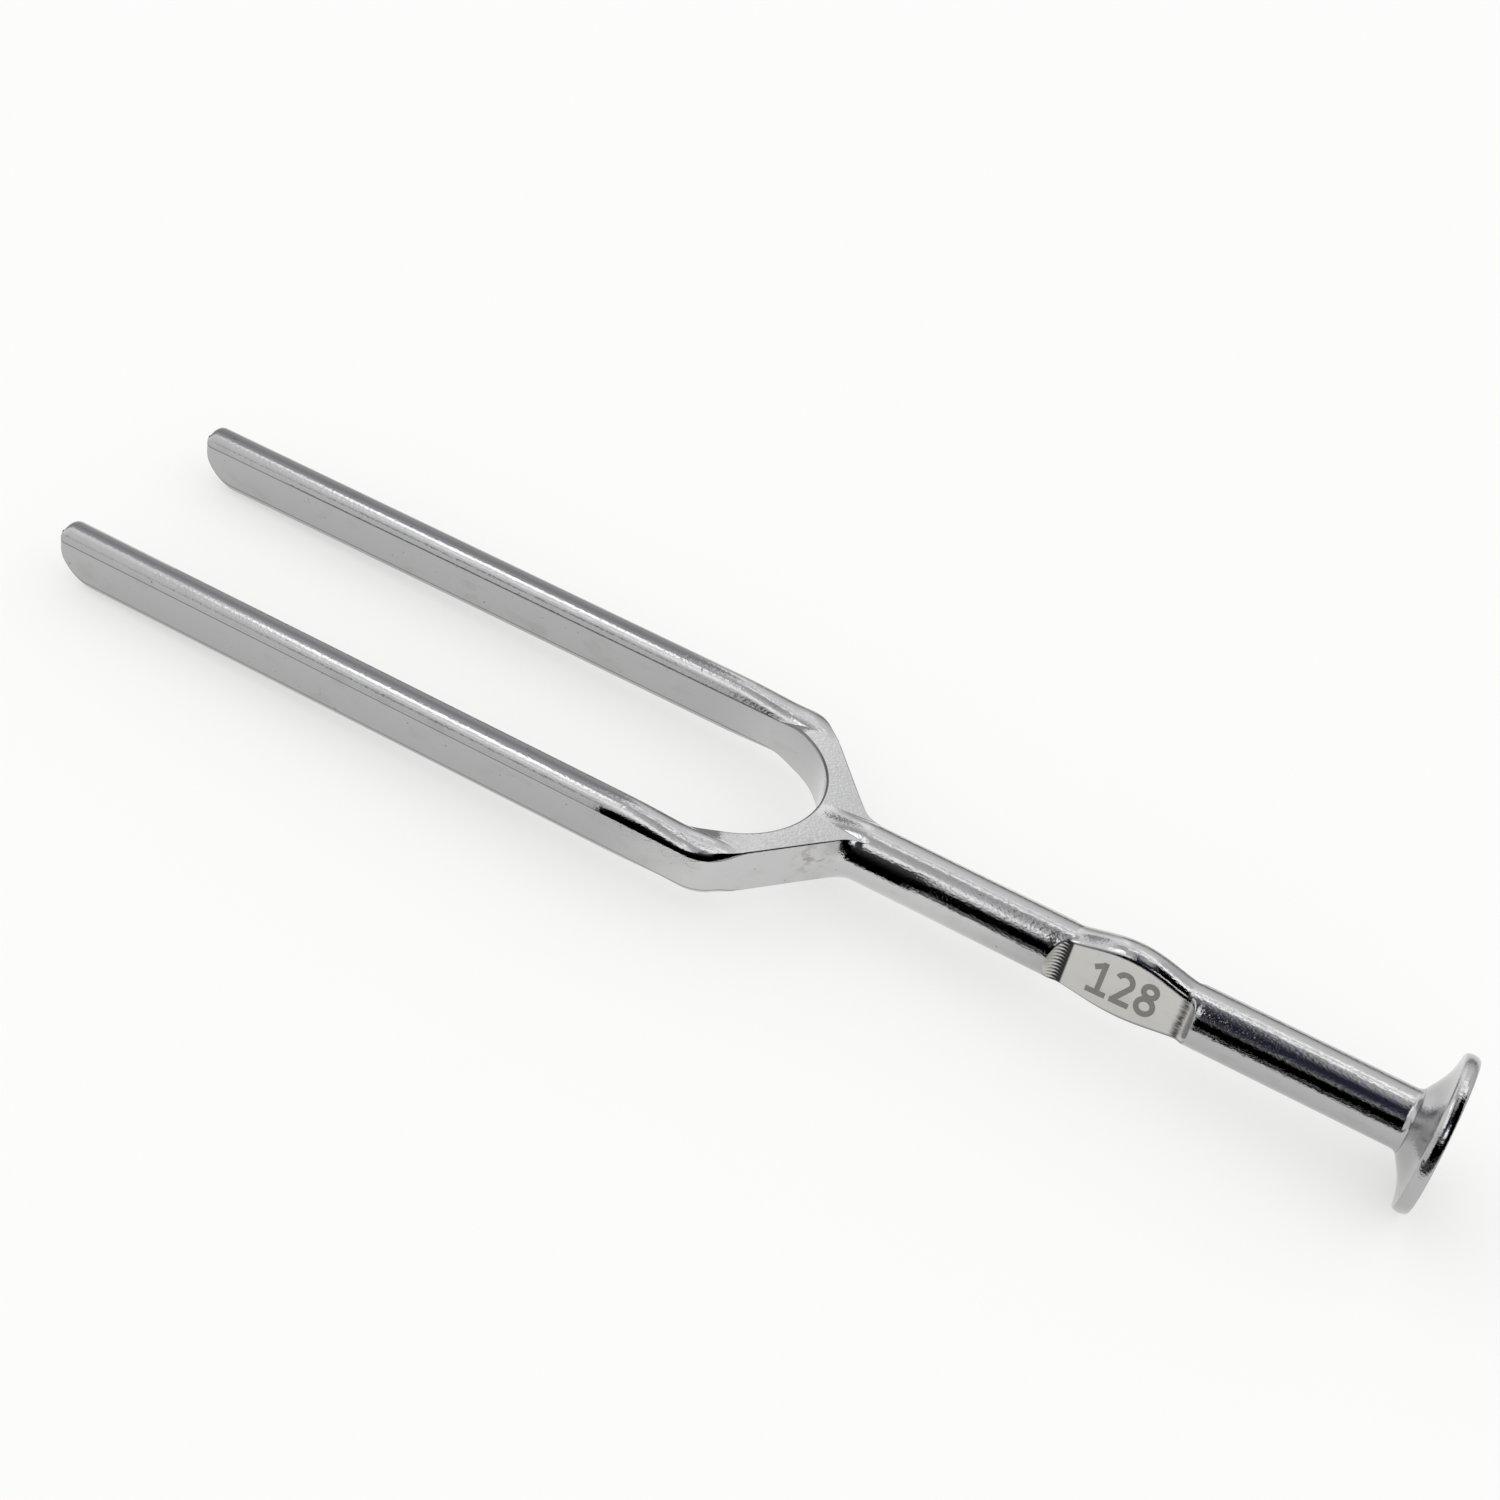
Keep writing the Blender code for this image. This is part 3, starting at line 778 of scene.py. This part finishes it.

# Grinding marks at the pad's two ends, their darkness painted as a dark reflection: a comb of leaning
# strokes, and a ragged band
PAD_MARK_SHADE = (0.03, 0.03, 0.03, 1.0)
MARK_WANDER = 0.7 * MM
WANDER_SIZE = (1.5 * MM, 0.3 * MM, 0.3 * MM)
STROKE_LEAN = -0.45
STROKE_WANDER = 2.5
STROKES_PER_METRE = 2 * math.pi / (0.55 * MM)
COMB_RISE = (48.9 * MM, 49.2 * MM)
COMB_FALL = (50.0 * MM, 51.4 * MM)
COMB_SOLID = (49.3 * MM, 50.6 * MM, 1.5, 0.0)
COMB_WAVE_RANGE = (-0.5, 0.7)
BAND_TOOTH_SIZE = (4 * MM, 0.24 * MM, 0.24 * MM)
BAND_TOOTH_RANGE = (0.25, 0.60, 0.55, 0.9)
BAND_RISE = (32.9 * MM, 33.6 * MM)
BAND_FALL = (33.7 * MM, 34.6 * MM)

INK_DARK = (0.155, 0.155, 0.145, 1.0)
INK_LIGHT = (0.215, 0.215, 0.20, 1.0)
INK_MOTTLE_SIZE = (0.3 * MM, 0.3 * MM, 0.3 * MM)
INK_ROUGHNESS = 0.7
INK_SPECULAR = 0.2


def new_material(name):
    material = bpy.data.materials.new(name)
    material.use_nodes = True
    tree = material.node_tree
    return material, tree, tree.nodes["Principled BSDF"]


def add_node(tree, kind, inputs=None, **settings):
    """A node with its settings; an input is a value or another node's output."""
    node = tree.nodes.new(kind)
    for key, value in settings.items():
        setattr(node, key, value)
    for key, value in (inputs or {}).items():
        if isinstance(value, bpy.types.NodeSocket):
            tree.links.new(value, node.inputs[key])
        else:
            node.inputs[key].default_value = value
    return node


def object_place(tree):
    return add_node(tree, "ShaderNodeTexCoord").outputs["Object"]


def split(tree, vector):
    """The three parts of a vector, under the names X, Y and Z."""
    return add_node(tree, "ShaderNodeSeparateXYZ", {0: vector}).outputs


def math_node(tree, operation, first, second=0.0, third=0.0):
    node = add_node(tree, "ShaderNodeMath", {0: first, 1: second, 2: third}, operation=operation)
    return node.outputs[0]


def range_node(tree, value, low, high, start=0.0, end=1.0):
    """A value between low and high turned smoothly into one between start and end."""
    node = add_node(tree, "ShaderNodeMapRange", {"Value": value, "From Min": low, "From Max": high,
                                                 "To Min": start, "To Max": end},
                    interpolation_type="SMOOTHSTEP")
    return node.outputs[0]


def mix_colour(tree, factor, first, second, blend="MIX"):
    node = add_node(tree, "ShaderNodeMix", {"Factor": factor, "A": first, "B": second},
                    data_type="RGBA", blend_type=blend)
    return node.outputs["Result"]


def stretched_noise(tree, place, size, detail=2.0):
    """Noise whose grains are size = (along X, along Y, along Z) in metres."""
    scale = tuple(1.0 / value for value in size)
    mapping = add_node(tree, "ShaderNodeMapping", {"Vector": place, "Scale": scale})
    noise = add_node(tree, "ShaderNodeTexNoise",
                     {"Vector": mapping.outputs[0], "Scale": 1.0, "Detail": detail})
    return noise.outputs[0]


def metal(name, colour, roughness, grain, grain_height, ripple_height):
    """Plated steel, with its colour left for the caller to link or to change further."""
    material, tree, shader = new_material(name)
    shader.inputs["Metallic"].default_value = 1.0
    place = object_place(tree)
    fine = stretched_noise(tree, place, grain, 3.0)
    ripple = stretched_noise(tree, place, RIPPLE_SIZE, 1.0)
    long_bump = add_node(tree, "ShaderNodeBump", {"Height": ripple, "Strength": 1.0,
                                                  "Distance": ripple_height})
    bump = add_node(tree, "ShaderNodeBump", {"Height": fine, "Strength": 1.0,
                                             "Distance": grain_height,
                                             "Normal": long_bump.outputs[0]})
    tree.links.new(bump.outputs[0], shader.inputs["Normal"])
    stains = stretched_noise(tree, place, STAIN_SIZE, 4.0)
    dulled = range_node(tree, stains, *DULLING_NOISE_RANGE, roughness, roughness + DULLING)
    tree.links.new(dulled, shader.inputs["Roughness"])
    stained = mix_colour(tree, range_node(tree, stains, *STAIN_NOISE_RANGE, 0.0, STAIN_STRENGTH),
                         (*colour, 1.0), STAIN_COLOUR)
    specks = stretched_noise(tree, place, PIT_SIZE, 1.0)
    pitted = mix_colour(tree, range_node(tree, specks, *PIT_NOISE_RANGE, 0.0, PIT_STRENGTH),
                        stained, PIT_COLOUR)
    # Painted shade along the rounded edges and creases, where the edge marks are high
    edge = add_node(tree, "ShaderNodeAttribute", attribute_name="edge").outputs["Fac"]
    edge_shaded = mix_colour(tree, math_node(tree, "MULTIPLY", edge, EDGE_STRENGTH), pitted,
                      (*[value * EDGE_SHADE for value in colour], 1.0))
    return material, tree, shader, place, edge_shaded


def chrome(name, grain_height):
    """The bright plating; material, tree, shader, place and colour, as metal() gives them."""
    return metal(name, CHROME, CHROME_ROUGHNESS, CHROME_GRAIN, grain_height, CHROME_RIPPLE_HEIGHT)


def plain_chrome(name, grain_height):
    material, tree, shader, _, colour = chrome(name, grain_height)
    tree.links.new(colour, shader.inputs["Base Color"])
    return material


def forging_metal(name):
    """The forging's plating, with the patch of blotches beside the neck."""
    material, tree, shader, place, colour = chrome(name, FORGING_GRAIN_HEIGHT)
    away = add_node(tree, "ShaderNodeVectorMath", {0: place, 1: PATCH_PLACE},
                    operation="DISTANCE").outputs["Value"]
    blotches = stretched_noise(tree, place, PATCH_BLOTCH_SIZE, 4.0)
    near = range_node(tree, away, PATCH_RADIUS * PATCH_CORE, PATCH_RADIUS, 1.0, 0.0)
    spots = range_node(tree, blotches, *PATCH_NOISE_RANGE, 0.0, PATCH_STRENGTH)
    spots = math_node(tree, "MULTIPLY", near, spots)
    tree.links.new(mix_colour(tree, spots, colour, PATCH_COLOUR), shader.inputs["Base Color"])
    return material


def pad_comb(tree, axes, along, wander):
    """Strokes that run solid at first and part into a comb further up the ramp."""
    leaning = math_node(tree, "MULTIPLY_ADD", axes["X"], STROKE_LEAN, axes["Z"])
    phase = math_node(tree, "MULTIPLY", leaning, STROKES_PER_METRE)
    strokes = math_node(tree, "SINE", math_node(tree, "MULTIPLY_ADD", wander, STROKE_WANDER, phase))
    solid = range_node(tree, axes["X"], *COMB_SOLID)
    strokes = range_node(tree, math_node(tree, "ADD", strokes, solid), *COMB_WAVE_RANGE)
    reach = math_node(tree, "MULTIPLY", range_node(tree, axes["X"], *COMB_RISE),
                      range_node(tree, along, *COMB_FALL, 1.0, 0.0))
    return math_node(tree, "MULTIPLY", reach, strokes)


def pad_band(tree, place, along):
    """A narrow dark band whose strength changes in streaks along the stem."""
    teeth = stretched_noise(tree, place, BAND_TOOTH_SIZE, 1.0)
    reach = math_node(tree, "MULTIPLY", range_node(tree, along, *BAND_RISE),
                      range_node(tree, along, *BAND_FALL, 1.0, 0.0))
    return math_node(tree, "MULTIPLY", reach, range_node(tree, teeth, *BAND_TOOTH_RANGE))


def pad_metal(name):
    """The pressed flats are duller, with grinding marks at their ends whose darkness is a painted dark
    reflection.
    """
    material, tree, shader, place, colour = metal(name, PAD_METAL, PAD_ROUGHNESS, PAD_GRAIN,
                                                  PAD_GRAIN_HEIGHT, PAD_RIPPLE_HEIGHT)
    axes = split(tree, place)
    wander = math_node(tree, "SUBTRACT", stretched_noise(tree, place, WANDER_SIZE, 2.0), 0.5)
    along = math_node(tree, "MULTIPLY_ADD", wander, MARK_WANDER, axes["X"])
    marks = math_node(tree, "MAXIMUM", pad_comb(tree, axes, along, wander),
                      pad_band(tree, place, along))
    # Painted dark reflection at the pad's two ends
    tree.links.new(mix_colour(tree, marks, colour, PAD_MARK_SHADE), shader.inputs["Base Color"])
    return material


def number_ink(name):
    """Matte grey marking with a little unevenness."""
    material, tree, shader = new_material(name)
    mottle = stretched_noise(tree, object_place(tree), INK_MOTTLE_SIZE)
    tree.links.new(mix_colour(tree, mottle, INK_DARK, INK_LIGHT), shader.inputs["Base Color"])
    shader.inputs["Roughness"].default_value = INK_ROUGHNESS
    shader.inputs["Specular IOR Level"].default_value = INK_SPECULAR
    return material


# ---------------------------------------------------------------- studio
# The floor's own glow keeps it nearly white; in the metal's reflections only it carries a painted pool of
# light, brighter near the neck and a little dimmer elsewhere
FLOOR_REACH = 4.0
FLOOR_COLOUR = (0.45, 0.45, 0.45, 1.0)
FLOOR_ROUGHNESS = 0.9
FLOOR_GLOW_COLOUR = (1.0, 1.0, 0.98, 1.0)
FLOOR_GLOW = 0.50
FLOOR_GLOW_RISE = (52 * MM, 70 * MM)
FLOOR_GLOW_FALL = (95 * MM, 112 * MM, 0.26, 0.0)
FLOOR_REFLECTED_DIMMING = 0.05

# A black sheet seen only in the metal, painting a dark reflection beside the handle
DARK_SHEET_X = (-0.4, 0.108)
DARK_SHEET_Y = (0.055, 0.6)
DARK_SHEET_COLOUR = (0.004, 0.004, 0.006, 1.0)

# Cards that glow and show in the metal only: corners, the axis along which the brightness
# changes, and the two places on it with the brightness at each
CARD_COLOUR = (0.0, 0.0, 0.0, 1.0)
CARD_GLOW_COLOUR = (1.0, 1.0, 1.03, 1.0)
CARDS = {
    "back_card": (((0.152, -0.15, -0.012), (0.9, -0.15, -0.012), (0.9, -0.15, 0.18),
                   (0.152, -0.15, 0.18)), "Z", (0.0, 0.18, 0.55, 0.40)),
    "top_card": (((0.165, -0.15, 0.18), (1.2, -0.15, 0.18), (1.2, -0.02, 0.18),
                  (0.165, -0.02, 0.18)), "Y", (-0.12, -0.02, 0.40, 0.60)),
    "near_card": (((0.075, 0.030, -0.012), (0.112, 0.030, -0.012), (0.112, 0.030, 0.010),
                   (0.075, 0.030, 0.050)), "Z", (0.008, 0.040, 0.0, 0.10)),
}


def stage_sheet(name, corners, colour):
    """A flat, dull sheet of the studio, given by its four corners."""
    mesh = bmesh.new()
    mesh.faces.new([mesh.verts.new(corner) for corner in corners])
    data = bpy.data.meshes.new(name)
    mesh.to_mesh(data)
    mesh.free()
    material, tree, shader = new_material(name)
    shader.inputs["Base Color"].default_value = colour
    shader.inputs["Specular IOR Level"].default_value = 0.0
    data.materials.append(material)
    return link_object(name, data), tree, shader


def glow(sheet, tree, shader, colour, strength):
    """The sheet shines for whatever looks at it, but isn't sampled as a lamp."""
    shader.inputs["Emission Color"].default_value = colour
    tree.links.new(strength, shader.inputs["Emission Strength"])
    sheet.data.materials[0].cycles.emission_sampling = "NONE"


def mirrored_only(sheet):
    """The sheet shows in the metal's reflections and nowhere else."""
    sheet.visible_camera = False
    sheet.visible_diffuse = False
    sheet.visible_shadow = False
    sheet.visible_transmission = False


def floor_corners(near_x, far_x, near_y, far_y, lift):
    """The floor slopes a little: it touches the foot's rim and the tips' lower corners."""
    tip_x = FORK_LENGTH - TIP_BOTTOM_ROUNDING
    rim_x = RIM_THICKNESS / 2
    corners = []
    for x, y in ((near_x, near_y), (far_x, near_y), (far_x, far_y), (near_x, far_y)):
        height = mix(FOOT_LOW.z, PRONG_LOW.z, (x - rim_x) / (tip_x - rim_x))
        corners.append((x, y, height + lift))
    return corners


def studio_floor():
    corners = floor_corners(-FLOOR_REACH, FLOOR_REACH, -FLOOR_REACH, FLOOR_REACH, 0.0)
    floor, tree, shader = stage_sheet("floor", corners, FLOOR_COLOUR)
    shader.inputs["Roughness"].default_value = FLOOR_ROUGHNESS
    along = split(tree, object_place(tree))["X"]
    # Painted light: for reflected rays only, the floor's glow rises near the neck and drops a little
    # elsewhere
    mirrored = add_node(tree, "ShaderNodeLightPath").outputs["Is Glossy Ray"]
    reflected_glow = math_node(tree, "MULTIPLY", range_node(tree, along, *FLOOR_GLOW_RISE),
                      range_node(tree, along, *FLOOR_GLOW_FALL))
    reflected_glow = math_node(tree, "SUBTRACT", reflected_glow, FLOOR_REFLECTED_DIMMING)
    glow(floor, tree, shader, FLOOR_GLOW_COLOUR,
         math_node(tree, "MULTIPLY_ADD", reflected_glow, mirrored, FLOOR_GLOW))


def dark_reflection_sheet():
    """A dark sheet over the floor beside the handle, seen only in the metal: a painted dark reflection."""
    corners = floor_corners(*DARK_SHEET_X, *DARK_SHEET_Y, GAP)
    sheet, _, _ = stage_sheet("dark_reflection_sheet", corners, DARK_SHEET_COLOUR)
    mirrored_only(sheet)


def glowing_card(name, corners, axis, stops):
    card, tree, shader = stage_sheet(name, corners, CARD_COLOUR)
    along = split(tree, object_place(tree))[axis]
    glow(card, tree, shader, CARD_GLOW_COLOUR, range_node(tree, along, *stops))
    mirrored_only(card)


# What the polished metal mirrors: brightness against the angle from the near horizon (0) over
# the zenith (90) to the far horizon (180), in degrees, for rays that lean more and more towards
# the tips.  A third number makes a stop bluish.
STUDIO = {
    "far_behind": ((-20, 0.0), (116, 0.0), (124, 0.9), (187, 0.6)),
    "behind": ((-20, 0.0), (36, 0.0), (42, 1.9), (52, 1.9), (56, 0.0), (108, 0.0), (111, 2.2),
               (117, 2.0), (122, 0.8), (150, 0.8), (187, 0.4)),
    "foot": ((-20, 0.0), (34, 0.0), (36, 0.45), (40, 0.40), (44, 0.16, 0.9), (56, 0.05, 1.0),
             (68, 0.06, 1.0), (78, 0.26, 0.5), (88, 0.64), (104, 0.66), (106, 2.4), (109, 2.4),
             (112, 0.9), (119, 0.9), (121, 2.4), (124, 2.4), (127, 1.1), (142, 1.0), (154, 0.9),
             (168, 0.56), (173, 0.2), (187, 0.2)),
    "waist": ((-20, 0.0), (34, 0.0), (37, 0.15), (42, 0.05, 1.0), (60, 0.03, 1.0),
              (84, 0.05, 1.0), (94, 0.18, 0.6), (102, 0.60), (105, 0.70), (107, 2.4), (110, 2.4),
              (113, 0.9), (119, 0.9), (121, 2.0), (124, 2.0), (127, 1.1), (142, 1.0), (154, 0.9),
              (168, 0.56), (173, 0.2), (187, 0.2)),
    "stem": ((-20, 0.0), (38, 0.0), (43, 0.58), (50, 1.0), (57, 1.6), (64, 1.7), (70, 0.95),
             (80, 0.78), (96, 0.64), (105, 0.66), (107, 2.4), (109, 2.4), (112, 0.83),
             (120, 0.95), (121, 1.6), (124, 1.6), (126, 1.1), (142, 1.09), (154, 0.9),
             (168, 0.56), (173, 0.2), (187, 0.2)),
    "yoke": ((-20, 0.0), (-3, 0.0), (6, 0.7), (40, 0.8), (52, 1.0), (57, 1.6), (68, 1.7),
             (74, 1.0), (86, 0.8), (100, 0.7), (110, 0.9), (124, 1.35), (148, 1.65), (160, 1.0),
             (175, 0.5), (187, 0.4)),
    "prongs": ((-20, 0.75), (20, 0.82), (33, 0.85), (35, 0.15), (37.5, 0.15), (39, 0.9),
               (47, 0.95), (56, 1.1), (60, 1.5), (66, 1.3), (70, 1.15), (75, 1.3), (78, 2.5),
               (90, 2.5), (92, 0.62), (108, 0.60), (116, 0.95), (124, 1.25), (148, 1.3),
               (160, 0.9), (175, 0.5), (187, 0.4)),
    "tips": ((-20, 0.8), (25, 0.9), (33, 0.9), (35, 0.6), (37, 0.6), (39, 0.9), (75, 1.0),
             (84, 1.15), (120, 1.15), (187, 1.0)),
    "beyond": ((-20, 0.8), (40, 0.9), (60, 1.1), (170, 1.1), (187, 0.9)),
}
# Between which leans, as a ray's part along +X, each stretch takes over from the one before
STUDIO_CHANGES = (("behind", -0.62, -0.45), ("foot", -0.30, -0.17), ("waist", -0.03, 0.02),
                  ("stem", 0.070, 0.100), ("yoke", 0.215, 0.235), ("prongs", 0.26, 0.31),
                  ("tips", 0.40, 0.47), ("beyond", 0.58, 0.66))
BRIGHTEST = 2.5
BLUENESS = 0.4
BACKDROP = (1.06, 1.06, 1.06, 1.0)


def studio_ramp(tree, share, stops):
    """A colour ramp over one turn, with its brightness divided by BRIGHTEST."""
    ramp = add_node(tree, "ShaderNodeValToRGB", {"Fac": share})
    elements = ramp.color_ramp.elements
    while len(elements) > 1:
        elements.remove(elements[-1])
    for i, (angle, brightness, *blue) in enumerate(stops):
        element = elements[0] if i == 0 else elements.new(turn(angle))
        element.position = turn(angle)
        value = brightness / BRIGHTEST
        warm = value * (1 - BLUENESS * sum(blue))
        element.color = (warm, warm, value, 1.0)
    return ramp.outputs["Color"]


def turn(angle):
    """Share of a turn that starts 90 degrees below the near horizon."""
    return (angle + 90) / 360


def studio_light():
    """Even white light, and for the metal's reflections a studio of dark and bright stretches."""
    world = bpy.data.worlds.new("studio")
    bpy.context.scene.world = world
    world.use_nodes = True
    world.cycles.sampling_method = "NONE"
    tree = world.node_tree
    background = tree.nodes["Background"]
    direction = add_node(tree, "ShaderNodeTexCoord").outputs["Generated"]
    axes = split(tree, direction)
    height = math_node(tree, "ARCTAN2", axes["Z"], axes["Y"])
    share = math_node(tree, "MULTIPLY_ADD", height, 1 / (2 * math.pi), 0.25)
    share = math_node(tree, "FRACT", share)
    colour = studio_ramp(tree, share, STUDIO["far_behind"])
    for name, start, end in STUDIO_CHANGES:
        reach = range_node(tree, axes["X"], start, end)
        colour = mix_colour(tree, reach, colour, studio_ramp(tree, share, STUDIO[name]))
    bright = mix_colour(tree, 1.0, colour, (BRIGHTEST,) * 3 + (1.0,), "MULTIPLY")
    path = add_node(tree, "ShaderNodeLightPath").outputs["Is Glossy Ray"]
    seen = mix_colour(tree, path, BACKDROP, bright)
    tree.links.new(seen, background.inputs["Color"])


# ---------------------------------------------------------------- camera
CAMERA_PLACE = Vector((22.0, 224.4, 196.95)) * MM
CAMERA_TARGET = Vector((99.4, -8.2, 0.0)) * MM
CAMERA_ROLL = math.radians(14.2)
CAMERA_LENS = 57.04


def add_camera():
    data = bpy.data.cameras.new("camera")
    data.lens = CAMERA_LENS
    data.sensor_width = 36.0
    data.clip_start = 0.01
    data.clip_end = 20.0
    camera = bpy.data.objects.new("camera", data)
    bpy.context.scene.collection.objects.link(camera)
    forward = (CAMERA_TARGET - CAMERA_PLACE).normalized()
    level = forward.cross(Vector((0.0, 0.0, 1.0))).normalized()
    upright = level.cross(forward)
    right = level * math.cos(CAMERA_ROLL) + upright * math.sin(CAMERA_ROLL)
    up = upright * math.cos(CAMERA_ROLL) - level * math.sin(CAMERA_ROLL)
    turn_matrix = Matrix((right, up, -forward)).transposed()
    camera.matrix_world = Matrix.Translation(CAMERA_PLACE) @ turn_matrix.to_4x4()
    bpy.context.scene.camera = camera


# ---------------------------------------------------------------- the scene
def add_pieces():
    prong_metal = plain_chrome("prong_chrome", PRONG_GRAIN_HEIGHT)
    foot_metal = plain_chrome("foot_chrome", FOOT_GRAIN_HEIGHT)
    yoke = build_yoke_and_stem([forging_metal("forging_chrome"), pad_metal("pad_metal")])
    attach(yoke, "handle")
    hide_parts("yoke_and_stem")
    number = build_number(number_ink("number_ink"))
    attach(number, "handle")
    foot = build_foot([foot_metal])
    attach(foot, "handle")
    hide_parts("foot")
    for name, sign in (("prong_left", 1), ("prong_right", -1)):
        prong = build_prong(name + "_skin", sign, [prong_metal])
        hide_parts(name)
        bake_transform(prong, "handle", name, start=(ROOT_X, 0, 0), end=(ROOT_X + BEND_LENGTH, 0, 0))


add_camera()
studio_floor()
dark_reflection_sheet()
for card_name, (card_corners, card_axis, card_stops) in CARDS.items():
    glowing_card(card_name, card_corners, card_axis, card_stops)
studio_light()
add_pieces()
bpy.context.scene.view_settings.view_transform = "Standard"
